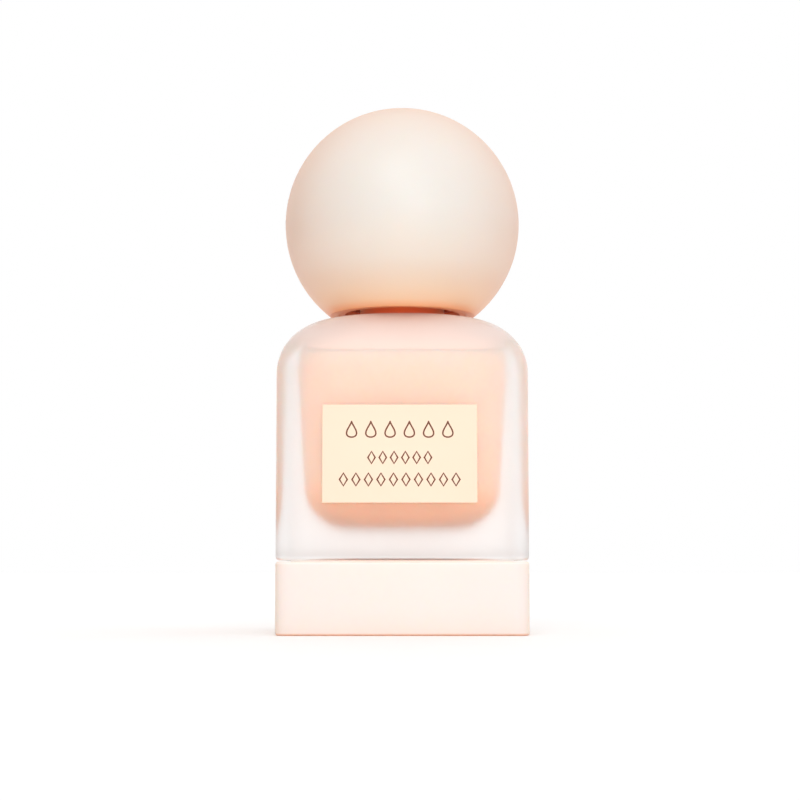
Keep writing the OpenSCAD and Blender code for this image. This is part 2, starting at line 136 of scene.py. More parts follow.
def multiply_colours(nodes, links, a, b):
    """A node that multiplies two colours. Returns its result."""
    product = nodes.new("ShaderNodeMix")
    product.data_type = "RGBA"
    product.blend_type = "MULTIPLY"
    product.inputs["Factor"].default_value = 1
    links.new(a, product.inputs["A"])
    links.new(b, product.inputs["B"])
    return product.outputs["Result"]


def moulded(name, colour, deep, roughness, grain=2.0, bump=0.02, subsurface=0.0,
            fade=None, edge=None):
    """Moulded or painted plastic: a slow drift between two tones, uneven gloss and a fine
    orange-peel skin. grain is the size of the skin's pattern in millimetres, and bump its
    height. fade is a list of heights and colours that the two tones, then near white, are
    multiplied by up the piece, which paints light and shade by height. edge is painted
    shade: the tint that the surface takes where it is seen side-on."""
    material = bpy.data.materials.new(name)
    material.use_nodes = True
    nodes, links = material.node_tree.nodes, material.node_tree.links
    shader = nodes["Principled BSDF"]
    place = nodes.new("ShaderNodeTexCoord")

    drift = nodes.new("ShaderNodeTexNoise")
    drift.inputs["Scale"].default_value = 60
    drift.inputs["Detail"].default_value = 4
    links.new(place.outputs["Object"], drift.inputs["Vector"])
    tone = nodes.new("ShaderNodeValToRGB")
    tone.color_ramp.elements[0].position = 0.3
    tone.color_ramp.elements[0].color = (*deep, 1)
    tone.color_ramp.elements[1].position = 0.7
    tone.color_ramp.elements[1].color = (*colour, 1)
    links.new(drift.outputs["Fac"], tone.inputs["Fac"])
    surface_colour = tone.outputs["Color"]
    if fade:
        low, high = fade[0][0], fade[-1][0]
        height = nodes.new("ShaderNodeSeparateXYZ")
        links.new(place.outputs["Object"], height.inputs[0])
        share = nodes.new("ShaderNodeMapRange")
        share.inputs["From Min"].default_value = low
        share.inputs["From Max"].default_value = high
        links.new(height.outputs["Z"], share.inputs["Value"])
        ladder = nodes.new("ShaderNodeValToRGB")
        ladder.color_ramp.interpolation = "B_SPLINE"
        while len(ladder.color_ramp.elements) < len(fade):
            ladder.color_ramp.elements.new(0.5)
        for step, (z, rgb) in zip(ladder.color_ramp.elements, fade):
            step.position = (z - low) / (high - low)
            step.color = (*rgb, 1)
        links.new(share.outputs["Result"], ladder.inputs["Fac"])
        surface_colour = multiply_colours(nodes, links, ladder.outputs["Color"], surface_colour)
    # painted shade: the colour is multiplied towards edge where the surface is seen side-on
    if edge:
        facing = nodes.new("ShaderNodeLayerWeight")
        facing.inputs["Blend"].default_value = 0.35
        painted_edge_shade = nodes.new("ShaderNodeMix")
        painted_edge_shade.data_type = "RGBA"
        painted_edge_shade.inputs["A"].default_value = (1, 1, 1, 1)
        painted_edge_shade.inputs["B"].default_value = (*edge, 1)
        links.new(facing.outputs["Facing"], painted_edge_shade.inputs["Factor"])
        surface_colour = multiply_colours(nodes, links, surface_colour, painted_edge_shade.outputs["Result"])
    links.new(surface_colour, shader.inputs["Base Color"])

    skin = nodes.new("ShaderNodeTexNoise")
    skin.inputs["Scale"].default_value = 1 / (grain * MM)
    skin.inputs["Detail"].default_value = 3
    links.new(place.outputs["Object"], skin.inputs["Vector"])
    gloss = nodes.new("ShaderNodeMapRange")
    uneven = 0.04
    gloss.inputs["To Min"].default_value = roughness - uneven
    gloss.inputs["To Max"].default_value = roughness + uneven
    links.new(skin.outputs["Fac"], gloss.inputs["Value"])
    links.new(gloss.outputs["Result"], shader.inputs["Roughness"])
    relief = nodes.new("ShaderNodeBump")
    relief.inputs["Strength"].default_value = bump * 10
    relief.inputs["Distance"].default_value = bump * MM
    links.new(skin.outputs["Fac"], relief.inputs["Height"])
    links.new(relief.outputs["Normal"], shader.inputs["Normal"])

    shader.inputs["Subsurface Weight"].default_value = subsurface
    shader.inputs["Subsurface Radius"].default_value = (1.0, 0.55, 0.35)
    shader.inputs["Subsurface Scale"].default_value = 2.5 * MM
    return material


def finish_with(piece, material):
    """Gives a piece its only material. A CAD node gets it in its object's own slot."""
    if "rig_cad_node" in piece:
        for slot in piece.material_slots:
            slot.link = "OBJECT"
            slot.material = material
        return
    piece.data.materials.clear()
    piece.data.materials.append(material)


plinth_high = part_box("plinth_shell")[1]
plinth_half = plinth_high.x
plinth_top = plinth_high.z
plinth_corner = 2.2 * MM
plinth_inner_corner = 0.8 * MM
plinth_edge = 0.45 * MM
plinth_wall = 1.8 * MM
plinth_bevel = 0.1 * MM     # on the foot's inner edge
plinth_roof = 2.0 * MM
plinth_ceiling = plinth_top - plinth_roof
hold = 0.25 * MM            # keeps a flat face flat beside a rounding


def plinth_profile():
    """Inset from the outer face and height, from the cavity's ceiling round to its middle."""
    edge, wall = plinth_edge, plinth_wall
    lower = arc((edge, edge), edge, 270, 180, 6)
    upper = arc((edge, plinth_top - edge), edge, 180, 90, 6)
    return [(wall, plinth_ceiling), (wall, hold), (wall - plinth_bevel, 0), *lower,
            (0, edge + hold), (0, plinth_top - edge - hold), *upper]


rings = [[(0, 0, plinth_ceiling)]]
rings += [round_square(plinth_half - inset, max(plinth_corner - inset, plinth_inner_corner), z)
          for inset, z in plinth_profile()]
rings += [round_square(plinth_half - plinth_edge - hold, plinth_corner, plinth_top),
          [(0, 0, plinth_top)]]
plinth = loft("plinth_block", rings)
# painted light and shade by height: a warm painted contact shade at the foot, cream on the face, a
# darker painted band under the top edge and a painted highlight on the top edge; the edge tint is
# painted warm shade on the corners seen side-on
plinth_painted_light = [(0, (0.93, 0.36, 0.16)), (0.5 * MM, (0.89, 0.87, 0.85)),
                (plinth_top - 0.7 * MM, (0.84, 0.74, 0.72)), (plinth_top, (0.97, 0.94, 0.91))]
plinth_cream = moulded("satin_cream_plastic", (1.0, 1.0, 1.0), (0.99, 0.985, 0.975), 0.38,
                       grain=1.2, subsurface=0.25, fade=plinth_painted_light, edge=(1.0, 0.90, 0.76))
finish_with(plinth, plinth_cream)
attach(plinth, "bottle")
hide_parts("plinth_shell")


# ---------------------------------------------------------------------------------------
# Closing plate and adhesive sheet. The plate is a plain cream moulding pressed in from
# below on its pegs. The sheet is clear-white acrylic that holds the glass on the plinth.

plate_cream = moulded("matte_cream_plastic", (0.90, 0.81, 0.71), (0.87, 0.78, 0.68), 0.55,
                      grain=0.4, bump=0.05)
finish_with(frame["nodes"]["plinth_closing_plate"], plate_cream)

acrylic = moulded("acrylic_adhesive", (0.97, 0.965, 0.96), (0.95, 0.94, 0.93), 0.3,
                  grain=0.5, bump=0.04)
finish_with(frame["nodes"]["plinth_adhesive"], acrylic)
finish_with(frame["nodes"]["label_adhesive"], acrylic)


# ---------------------------------------------------------------------------------------
# Glass bottle. Pressed thick-walled glass, acid-frosted all over outside, with an 18 mm
# neck and its one-and-a-half-turn thread. The hollow is polished and rounder than the
# outside, so that the walls read as thick clear ice round the liquid.

glass_low, glass_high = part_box("glass_bottle")
liquid_low, liquid_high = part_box("foundation_liquid")
gasket_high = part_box("neck_gasket")[1]
glass_half = glass_high.x
glass_foot = glass_low.z
neck_top = glass_high.z
gasket_inset = 0.05 * MM    # from the neck's face in to the gasket's edge
neck_r = gasket_high.x + gasket_inset
neck_h = 15.2 * MM
shoulder_z = neck_top - neck_h
shoulder_r = 12 * MM
corner_r = 2.6 * MM
foot_r = 0.7 * MM
foot_corner = 0.3 * MM      # the least corner radius on the foot's rounding
neck_fillet = 0.8 * MM
lip_r = 0.4 * MM
neck_bore = 5.0 * MM        # its radius
bore_bevel = 0.3 * MM
thread_pitch = 3.175 * MM
thread_turns = 1.5
thread_depth = 1.0 * MM
thread_half = 0.95 * MM     # half the rib's width at its root
thread_flank = 0.55 * MM
thread_run_out = 0.125      # turns
thread_land = 2.4 * MM      # from the lip down to the last turn
thread_start = neck_top - thread_land - thread_turns * thread_pitch
shoulder_wall = 2.4 * MM
hollow_top = shoulder_z - shoulder_wall
liquid_gap = 0.02 * MM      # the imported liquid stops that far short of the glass
hollow_floor = liquid_low.z - liquid_gap
hollow_half = liquid_high.x + liquid_gap
hollow_taper = 1.1 * MM
hollow_corner = 6.5 * MM
hollow_floor_r = 7.5 * MM
hollow_top_r = 9.0 * MM
hollow_steps = 16           # slices in each of the hollow's rounds
shoulder_steps = 32


def thread_height(angle, z):
    """How far the thread stands out of the neck there, run out over its last eighth turn."""
    out = 0
    for lap in range(3):
        turn = angle / (2 * pi) + lap
        if 0 <= turn <= thread_turns:
            off = abs(z - thread_start - thread_pitch * turn)
            flank = min(max((thread_half - off) / thread_flank, 0), 1)
            run_out = min(turn, thread_turns - turn) / thread_run_out
            out = max(out, thread_depth * flank * min(run_out, 1))
    return out


def circle(radius, z):
    return round_square(radius, radius, z)


def threaded_ring(z):
    """The neck's outline at that height, pushed out where the thread crosses it."""
    ring = []
    for x, y, _ in circle(neck_r, z):
        grow = 1 + thread_height(atan2(y, x) % (2 * pi), z) / neck_r
        ring.append((x * grow, y * grow, z))
    return ring


def hollow_rings(grow=0.0, level=None):
    """The hollow from its ceiling, or from the liquid's level, down to the floor's middle.
    grow moves the rings out into the glass, or inwards when it is negative."""
    top = hollow_half - hollow_top_r
    first = 90 if level is None else asin(1 - (hollow_top - level) / hollow_top_r) * 180 / pi
    rings = []
    for i in range(hollow_steps + 1):
        a = radians(first * (1 - i / hollow_steps))
        w = top + (hollow_top_r + grow) * cos(a)
        r = hollow_corner + (top - hollow_corner) * sin(a) ** 2 + grow
        rings.append(round_square(w, r, hollow_top - hollow_top_r + (hollow_top_r + grow) * sin(a)))
    base = hollow_half - hollow_taper
    corner_growth = 0.4         # how fast the corners widen towards the floor
    least_flat = 0.1 * MM
    for i in range(hollow_steps + 1):
        a = radians(90 * (1 - i / hollow_steps))
        w = base - hollow_floor_r * (1 - sin(a))
        r = min(w - least_flat, hollow_corner + hollow_floor_r * (1 - sin(a)) * corner_growth)
        rings.append(round_square(w + grow, r + grow,
                                  hollow_floor - grow + hollow_floor_r * (1 - cos(a))))
    return rings + [[(0, 0, hollow_floor - grow)]]


outside = [[(0, 0, glass_foot)], round_square(glass_half - foot_r - hold, corner_r, glass_foot)]
outside += [round_square(glass_half - foot_r + x, max(corner_r - foot_r + x, foot_corner), z)
            for x, z in arc((0, glass_foot + foot_r), foot_r, 270, 360, 6)]
wall_top = shoulder_z - shoulder_r
outside += [round_square(glass_half, corner_r, glass_foot + foot_r + hold),
            round_square(glass_half, corner_r, wall_top - 2 * hold)]
top_half = glass_half - shoulder_r
for i in range(shoulder_steps + 1):
    a = radians(90 * i / shoulder_steps)
    outside.append(round_square(top_half + shoulder_r * cos(a),
                                corner_r + (top_half - corner_r) * sin(a) ** 2,
                                wall_top + shoulder_r * sin(a)))
outside += [circle(r, z) for r, z in
            arc((neck_r + neck_fillet, shoulder_z + neck_fillet), neck_fillet, 270, 180, 6)]
neck_rings = 64
neck_from = shoulder_z + neck_fillet + hold
neck_to = neck_top - lip_r - hold
outside += [threaded_ring(neck_from + (neck_to - neck_from) * i / neck_rings)
            for i in range(neck_rings + 1)]
outside += [circle(r, z) for r, z in arc((neck_r - lip_r, neck_top - lip_r), lip_r, 0, 90, 5)]
outside += [circle(r, z) for r, z in arc((neck_bore + lip_r, neck_top - lip_r), lip_r, 90, 180, 5)]
outside += [circle(neck_bore, hollow_top + bore_bevel), circle(neck_bore + bore_bevel, hollow_top)]
glass = loft("frosted_glass", outside + hollow_rings())


def frosted_glass():
    """Acid-frosted glass: a rough clear body with a faint cool tint and a sugary fine skin."""
    material = bpy.data.materials.new("frosted_glass")
    material.use_nodes = True
    nodes, links = material.node_tree.nodes, material.node_tree.links
    shader = nodes["Principled BSDF"]
    place = nodes.new("ShaderNodeTexCoord")
    cloud = nodes.new("ShaderNodeTexNoise")
    cloud.inputs["Scale"].default_value = 90
    cloud.inputs["Detail"].default_value = 5
    links.new(place.outputs["Object"], cloud.inputs["Vector"])
    tint = nodes.new("ShaderNodeValToRGB")
    tint.color_ramp.elements[0].color = (0.91, 0.93, 0.945, 1)
    tint.color_ramp.elements[1].color = (0.94, 0.96, 0.97, 1)
    links.new(cloud.outputs["Fac"], tint.inputs["Fac"])
    # painted shade: the neck's foot is tinted deep amber for the shade under the cap, fading out by
    # the thread
    height = nodes.new("ShaderNodeSeparateXYZ")
    links.new(place.outputs["Object"], height.inputs[0])
    neck_shade_low = shoulder_z - 0.4 * MM
    neck_shade_high = shoulder_z + 4.6 * MM
    up_neck = nodes.new("ShaderNodeMapRange")
    up_neck.inputs["From Min"].default_value = neck_shade_low
    up_neck.inputs["From Max"].default_value = neck_shade_high
    links.new(height.outputs["Z"], up_neck.inputs["Value"])
    neck_shade_strength = nodes.new("ShaderNodeValToRGB")
    neck_shade_strength.color_ramp.elements[0].color = (0, 0, 0, 1)
    neck_shade_strength.color_ramp.elements[1].color = (0.1, 0.1, 0.1, 1)
    for z in (shoulder_z + 0.8 * MM, shoulder_z + 1.8 * MM):
        full = neck_shade_strength.color_ramp.elements.new((z - neck_shade_low) / (neck_shade_high - neck_shade_low))
        full.color = (1, 1, 1, 1)
    links.new(up_neck.outputs["Result"], neck_shade_strength.inputs["Fac"])
    neck_painted_shade = nodes.new("ShaderNodeMix")
    neck_painted_shade.data_type = "RGBA"
    links.new(neck_shade_strength.outputs["Color"], neck_painted_shade.inputs["Factor"])
    links.new(tint.outputs["Color"], neck_painted_shade.inputs["A"])
    neck_painted_shade.inputs["B"].default_value = (1.0, 0.33, 0.12, 1)
    links.new(neck_painted_shade.outputs["Result"], shader.inputs["Base Color"])
    rough = nodes.new("ShaderNodeMapRange")
    rough.inputs["To Min"].default_value = 0.34
    rough.inputs["To Max"].default_value = 0.42
    links.new(cloud.outputs["Fac"], rough.inputs["Value"])
    links.new(rough.outputs["Result"], shader.inputs["Roughness"])
    sugar = nodes.new("ShaderNodeTexNoise")
    sugar.inputs["Scale"].default_value = 9000
    sugar.inputs["Detail"].default_value = 2
    links.new(place.outputs["Object"], sugar.inputs["Vector"])
    relief = nodes.new("ShaderNodeBump")
    relief.inputs["Strength"].default_value = 0.15
    relief.inputs["Distance"].default_value = 0.01 * MM
    links.new(sugar.outputs["Fac"], relief.inputs["Height"])
    links.new(relief.outputs["Normal"], shader.inputs["Normal"])
    shader.inputs["Transmission Weight"].default_value = 0.87
    shader.inputs["IOR"].default_value = 1.45
    shader.inputs["Sheen Weight"].default_value = 0.2
    shader.inputs["Sheen Roughness"].default_value = 0.5
    # the lamps' and the room's light goes straight through, so that the liquid is lit
    clear = nodes.new("ShaderNodeBsdfTransparent")
    clear.inputs["Color"].default_value = (0.97, 0.95, 0.94, 1)
    path = nodes.new("ShaderNodeLightPath")
    last = shader.outputs[0]
    for ray in ("Is Shadow Ray", "Is Diffuse Ray"):
        mix = nodes.new("ShaderNodeMixShader")
        links.new(path.outputs[ray], mix.inputs[0])
        links.new(last, mix.inputs[1])
        links.new(clear.outputs[0], mix.inputs[2])
        last = mix.outputs[0]
    links.new(last, nodes["Material Output"].inputs["Surface"])
    return material


finish_with(glass, frosted_glass())
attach(glass, "bottle")
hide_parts("glass_bottle")


# ---------------------------------------------------------------------------------------
# Foundation. A thick opaque emulsion, poured in to its level, with a shaft left open round
# the dip tube so that the pump can lift out. Above the level it clings to the glass as a
# thin film, over the ceiling and up the neck's bore.

liquid_level = liquid_high.z
shaft_r = 2.7 * MM
shaft_foot = 19.3 * MM      # height above the table
wetting = 0.02 * MM         # the liquid reaches that far past the glass's face
surface_share = 0.96        # the open surface ends short of the wall
film = 0.22 * MM
film_wall = wetting + 0.05 * MM
film_foot = liquid_level - 4 * MM
film_top = shoulder_z + 6 * MM
film_bore = neck_bore - film
wet_wall = hollow_rings(wetting, liquid_level)
surface_edge = [(x * surface_share, y * surface_share, z) for x, y, z in wet_wall[0]]
shaft = [[(0, 0, shaft_foot)], circle(shaft_r, shaft_foot), circle(shaft_r, liquid_level - hold),
         circle(shaft_r + hold, liquid_level), surface_edge]
liquid = loft("foundation_fill", shaft + wet_wall)
# painted shade: deep saturated peach in the rounded floor, paler from there up
peach_painted_shade = [(hollow_floor, (1.0, 0.48, 0.29)), (22 * MM, (1.0, 0.44, 0.21)),
               (27 * MM, (0.96, 0.64, 0.49)), (film_foot, (0.88, 0.66, 0.55))]
peach = moulded("peach_emulsion", (1.0, 1.0, 1.0), (0.985, 0.97, 0.96), 0.35,
                grain=3.0, subsurface=0.9, fade=peach_painted_shade)
emulsion = peach.node_tree.nodes["Principled BSDF"]
emulsion.inputs["Subsurface Radius"].default_value = (1.0, 0.5, 0.3)
emulsion.inputs["Subsurface Scale"].default_value = 4 * MM
finish_with(liquid, peach)

film_inside = [ring for ring in hollow_rings(-film) if ring[0][2] > film_foot + film]
film_inside.reverse()
neck_film = [circle(film_bore, hollow_top - film), circle(film_bore, film_top),
             circle(neck_bore + film_wall, film_top),
             circle(neck_bore + film_wall, hollow_top + film_wall)]
film_outside = [ring for ring in hollow_rings(film_wall) if ring[0][2] > film_foot]
clinging = loft("foundation_film", film_inside + neck_film + film_outside)
# painted shade: the film is darker at the level and deep amber in the neck's foot, under the cap
film_painted_shade = [(film_foot, (0.90, 0.67, 0.56)), (liquid_level, (0.84, 0.70, 0.67)),
              (hollow_top, (0.93, 0.73, 0.65)), (shoulder_z + 0.4 * MM, (0.93, 0.17, 0.03)),
              (shoulder_z + 1.6 * MM, (0.93, 0.17, 0.03)), (film_top, (0.92, 0.62, 0.46))]
peach_film = moulded("peach_film", (1.0, 1.0, 1.0), (0.985, 0.97, 0.96), 0.4,
                     grain=2.0, fade=film_painted_shade)
finish_with(clinging, peach_film)
for wet in (liquid, clinging):
    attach(wet, "bottle")
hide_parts("foundation_liquid")


# ---------------------------------------------------------------------------------------
# Label plate. A thin cream plate with crisp edges, glued on the front face and printed
# with three rows of small brown marks.

label_low, label_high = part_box("label_plate")
ink_t = 0.02 * MM
label_edge = 0.06 * MM
edge_ease = 0.3             # share of the edge's bevel that its middle ring stands in
label_corner = 0.15 * MM
label_x = (label_low.x + label_high.x) / 2
label_z = (label_low.z + label_high.z) / 2
label_front = label_low.y + ink_t / 2


def label_ring(inset, y):
    """The label's outline at depth y, drawn in by inset."""
    w = (label_high.x - label_low.x) / 2 - inset
    h = (label_high.z - label_low.z) / 2 - inset
    r = label_corner
    ring = []
    for sx, sz, first in ((1, 1, 0), (-1, 1, 90), (-1, -1, 180), (1, -1, 270)):
        for x, z in arc((sx * (w - r), sz * (h - r)), r, first, first + 90, 5):
            ring.append((label_x + x, y, label_z + z))
    return ring


label_back = label_high.y
label = loft("label_plate_cream", [
    [(label_x, label_back, label_z)], label_ring(label_edge, label_back),
    label_ring(0, label_back - label_edge), label_ring(0, label_front + label_edge),
    label_ring(label_edge * edge_ease, label_front + label_edge * edge_ease),
    label_ring(label_edge, label_front), label_ring(label_edge + hold, label_front),
    [(label_x, label_front, label_z)]])
label_cream = moulded("label_cream", (0.87, 0.735, 0.60), (0.86, 0.72, 0.58), 0.5,
                      grain=0.15, bump=0.02)
finish_with(label, label_cream)
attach(label, "bottle")
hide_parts("label_plate")


def reckon(tree, operation, a, b):
    """A maths node on two numbers or sockets. Returns its result."""
    node = tree.nodes.new("ShaderNodeMath")
    node.operation = operation
    for socket, value in zip(node.inputs, (a, b)):
        if isinstance(value, (int, float)):
            socket.default_value = value
        else:
            tree.links.new(value, socket)
    return node.outputs[0]


def mark_row_tree(ink):
    """A row of outlined marks: a ring of points that tapers to a drop or stays a lozenge,
    drawn with a flat bead of ink and repeated along X."""
    tree = bpy.data.node_groups.new("mark_row", "GeometryNodeTree")
    face = tree.interface
    sockets = {}
    for name, kind, value in (("Count", "NodeSocketInt", 6), ("Points", "NodeSocketInt", 4),
                              ("Pitch", "NodeSocketFloat", MM), ("Width", "NodeSocketFloat", MM),
                              ("Height", "NodeSocketFloat", MM), ("Stroke", "NodeSocketFloat", MM),
                              ("Taper", "NodeSocketFloat", 0.0), ("Ink depth", "NodeSocketFloat", MM)):
        item = face.new_socket(name, in_out="INPUT", socket_type=kind)
        item.default_value = value
        sockets[name] = item.identifier
    face.new_socket("Geometry", in_out="OUTPUT", socket_type="NodeSocketGeometry")
    nodes, links = tree.nodes, tree.links
    given = nodes.new("NodeGroupInput")

    outline = nodes.new("GeometryNodeCurvePrimitiveCircle")
    outline.inputs["Radius"].default_value = 1
    links.new(given.outputs["Points"], outline.inputs["Resolution"])
    spot = nodes.new("GeometryNodeInputPosition")
    split = nodes.new("ShaderNodeSeparateXYZ")
    links.new(spot.outputs[0], split.inputs[0])
    # a drop narrows by (1 - height), scaled so that its belly keeps the full width
    belly = 0.77
    down = reckon(tree, "SUBTRACT", 1, split.outputs["Y"])
    narrowing = reckon(tree, "MULTIPLY", down, belly)
    tapered = reckon(tree, "SUBTRACT", narrowing, 1)
    change = reckon(tree, "MULTIPLY", tapered, given.outputs["Taper"])
    narrowed = reckon(tree, "MULTIPLY", split.outputs["X"], reckon(tree, "ADD", 1, change))
    x = reckon(tree, "MULTIPLY", narrowed, reckon(tree, "MULTIPLY", given.outputs["Width"], 0.5))
    half_height = reckon(tree, "MULTIPLY", given.outputs["Height"], 0.5)
    z = reckon(tree, "MULTIPLY", split.outputs["Y"], half_height)
    together = nodes.new("ShaderNodeCombineXYZ")
    links.new(x, together.inputs["X"])
    links.new(z, together.inputs["Z"])
    stand = nodes.new("GeometryNodeSetPosition")
    links.new(outline.outputs[0], stand.inputs["Geometry"])
    links.new(together.outputs[0], stand.inputs["Position"])

    bead = nodes.new("GeometryNodeCurvePrimitiveCircle")
    bead.inputs["Resolution"].default_value = 8
    links.new(reckon(tree, "MULTIPLY", given.outputs["Stroke"], 0.5), bead.inputs["Radius"])
    draw = nodes.new("GeometryNodeCurveToMesh")
    links.new(stand.outputs[0], draw.inputs["Curve"])
    links.new(bead.outputs[0], draw.inputs["Profile Curve"])
    flatten = nodes.new("GeometryNodeTransform")
    squeeze = nodes.new("ShaderNodeCombineXYZ")
    squeeze.inputs["X"].default_value = 1
    squeeze.inputs["Z"].default_value = 1
    flatness = reckon(tree, "DIVIDE", given.outputs["Ink depth"], given.outputs["Stroke"])
    links.new(flatness, squeeze.inputs["Y"])
    links.new(draw.outputs[0], flatten.inputs["Geometry"])
    links.new(squeeze.outputs[0], flatten.inputs["Scale"])

    row = nodes.new("GeometryNodeMeshLine")
    links.new(given.outputs["Count"], row.inputs["Count"])
    steps = reckon(tree, "SUBTRACT", given.outputs["Count"], 1)
    span = reckon(tree, "MULTIPLY", steps, given.outputs["Pitch"])
    start = nodes.new("ShaderNodeCombineXYZ")
    links.new(reckon(tree, "MULTIPLY", span, -0.5), start.inputs["X"])
    step = nodes.new("ShaderNodeCombineXYZ")
    links.new(given.outputs["Pitch"], step.inputs["X"])
    links.new(start.outputs[0], row.inputs["Start Location"])
    links.new(step.outputs[0], row.inputs["Offset"])
    repeat = nodes.new("GeometryNodeInstanceOnPoints")
    links.new(row.outputs[0], repeat.inputs["Points"])
    links.new(flatten.outputs[0], repeat.inputs["Instance"])
    realize = nodes.new("GeometryNodeRealizeInstances")
    links.new(repeat.outputs[0], realize.inputs[0])
    paint = nodes.new("GeometryNodeSetMaterial")
    paint.inputs["Material"].default_value = ink
    links.new(realize.outputs[0], paint.inputs["Geometry"])
    out = nodes.new("NodeGroupOutput")
    links.new(paint.outputs[0], out.inputs[0])
    return tree, sockets


def grown(name, tree, sockets, **values):
    """Runs a geometry tree with these inputs and returns the result as a plain mesh piece."""
    host = bpy.data.objects.new(name + "_host", bpy.data.meshes.new(name + "_host"))
    bpy.context.scene.collection.objects.link(host)
    modifier = host.modifiers.new("grow", "NODES")
    modifier.node_group = tree
    for key, value in values.items():
        modifier[sockets[key.replace("_", " ")]] = value
    ready = host.evaluated_get(bpy.context.evaluated_depsgraph_get())
    mesh = bpy.data.meshes.new_from_object(ready)
    mesh.name = name
    host.modifiers.remove(modifier)
    bpy.data.objects.remove(host)
    mesh.shade_smooth()
    piece = bpy.data.objects.new(name, mesh)
    bpy.context.scene.collection.objects.link(piece)
    return piece


ink = moulded("brown_ink", (0.135, 0.040, 0.016), (0.105, 0.030, 0.012), 0.45, grain=0.2)
mark_tree, mark_inputs = mark_row_tree(ink)
# count, points, pitch, width, height, stroke, taper, and the drop below the label's top edge,
# with the lengths in millimetres
rows = (("print_row_drops", 6, 32, 3.33, 1.75, 2.75, 0.27, 1.0, 4.3),
        ("print_row_short", 6, 4, 1.95, 1.25, 2.1, 0.32, 0.0, 9.2),
        ("print_row_long", 10, 4, 2.16, 1.35, 2.2, 0.32, 0.0, 13.0))
for name, count, points, pitch, width, height, stroke, taper, drop in rows:
    marks = grown(name, mark_tree, mark_inputs, Count=count, Points=points, Pitch=pitch * MM,
                  Width=width * MM, Height=height * MM, Stroke=stroke * MM, Taper=taper,
                  Ink_depth=ink_t)
    for v in marks.data.vertices:
        v.co += Vector((label_x, label_front, label_high.z - drop * MM))
    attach(marks, "bottle")


# ---------------------------------------------------------------------------------------
# Pump body. The gasket is white foam; the housing, retainer, stem and piston are natural
# polypropylene and polyethylene, slightly see-through, as moulded; the ball is steel.

gasket_foam = moulded("gasket_foam", (0.88, 0.87, 0.85), (0.78, 0.77, 0.75), 0.8,
                      grain=0.25, bump=0.12)
natural_pp = moulded("natural_polypropylene", (0.86, 0.86, 0.84), (0.82, 0.82, 0.80), 0.32,
                     grain=0.8, subsurface=0.5)
natural_pe = moulded("natural_polyethylene", (0.90, 0.90, 0.89), (0.85, 0.85, 0.84), 0.42,
                     grain=0.6, subsurface=0.6)
for node, material in (("neck_gasket", gasket_foam), ("pump_housing", natural_pp),
                       ("housing_retainer", natural_pp), ("dip_tube", natural_pe),
                       ("piston", natural_pe), ("pump_stem", natural_pp),
                       ("nozzle_insert", natural_pe)):
    finish_with(frame["nodes"][node], material)


def drawn_metal(name, colour, roughness, stretch, scratch=0.02):
    """Polished or brushed metal. stretch sets which way the fine lines run, and scratch is
    their depth in millimetres."""
    material = bpy.data.materials.new(name)
    material.use_nodes = True
    nodes, links = material.node_tree.nodes, material.node_tree.links
    shader = nodes["Principled BSDF"]
    place = nodes.new("ShaderNodeTexCoord")
    squeeze = nodes.new("ShaderNodeMapping")
    squeeze.inputs["Scale"].default_value = stretch
    links.new(place.outputs["Object"], squeeze.inputs["Vector"])
    lines = nodes.new("ShaderNodeTexNoise")
    lines.inputs["Scale"].default_value = 400
    lines.inputs["Detail"].default_value = 6
    links.new(squeeze.outputs["Vector"], lines.inputs["Vector"])
    tone = nodes.new("ShaderNodeValToRGB")
    tone.color_ramp.elements[0].color = (*[c * 0.9 for c in colour], 1)
    tone.color_ramp.elements[1].color = (*colour, 1)
    links.new(lines.outputs["Fac"], tone.inputs["Fac"])
    links.new(tone.outputs["Color"], shader.inputs["Base Color"])
    rough = nodes.new("ShaderNodeMapRange")
    uneven = 0.08
    rough.inputs["To Min"].default_value = roughness - uneven
    rough.inputs["To Max"].default_value = roughness + uneven
    links.new(lines.outputs["Fac"], rough.inputs["Value"])
    links.new(rough.outputs["Result"], shader.inputs["Roughness"])
    relief = nodes.new("ShaderNodeBump")
    relief.inputs["Strength"].default_value = 0.3
    relief.inputs["Distance"].default_value = scratch * MM
    links.new(lines.outputs["Fac"], relief.inputs["Height"])
    links.new(relief.outputs["Normal"], shader.inputs["Normal"])
    shader.inputs["Metallic"].default_value = 1.0
    return material


steel = drawn_metal("spring_steel", (0.72, 0.72, 0.73), 0.22, stretch=(1, 1, 1), scratch=0.005)
finish_with(frame["nodes"]["check_ball"], steel)
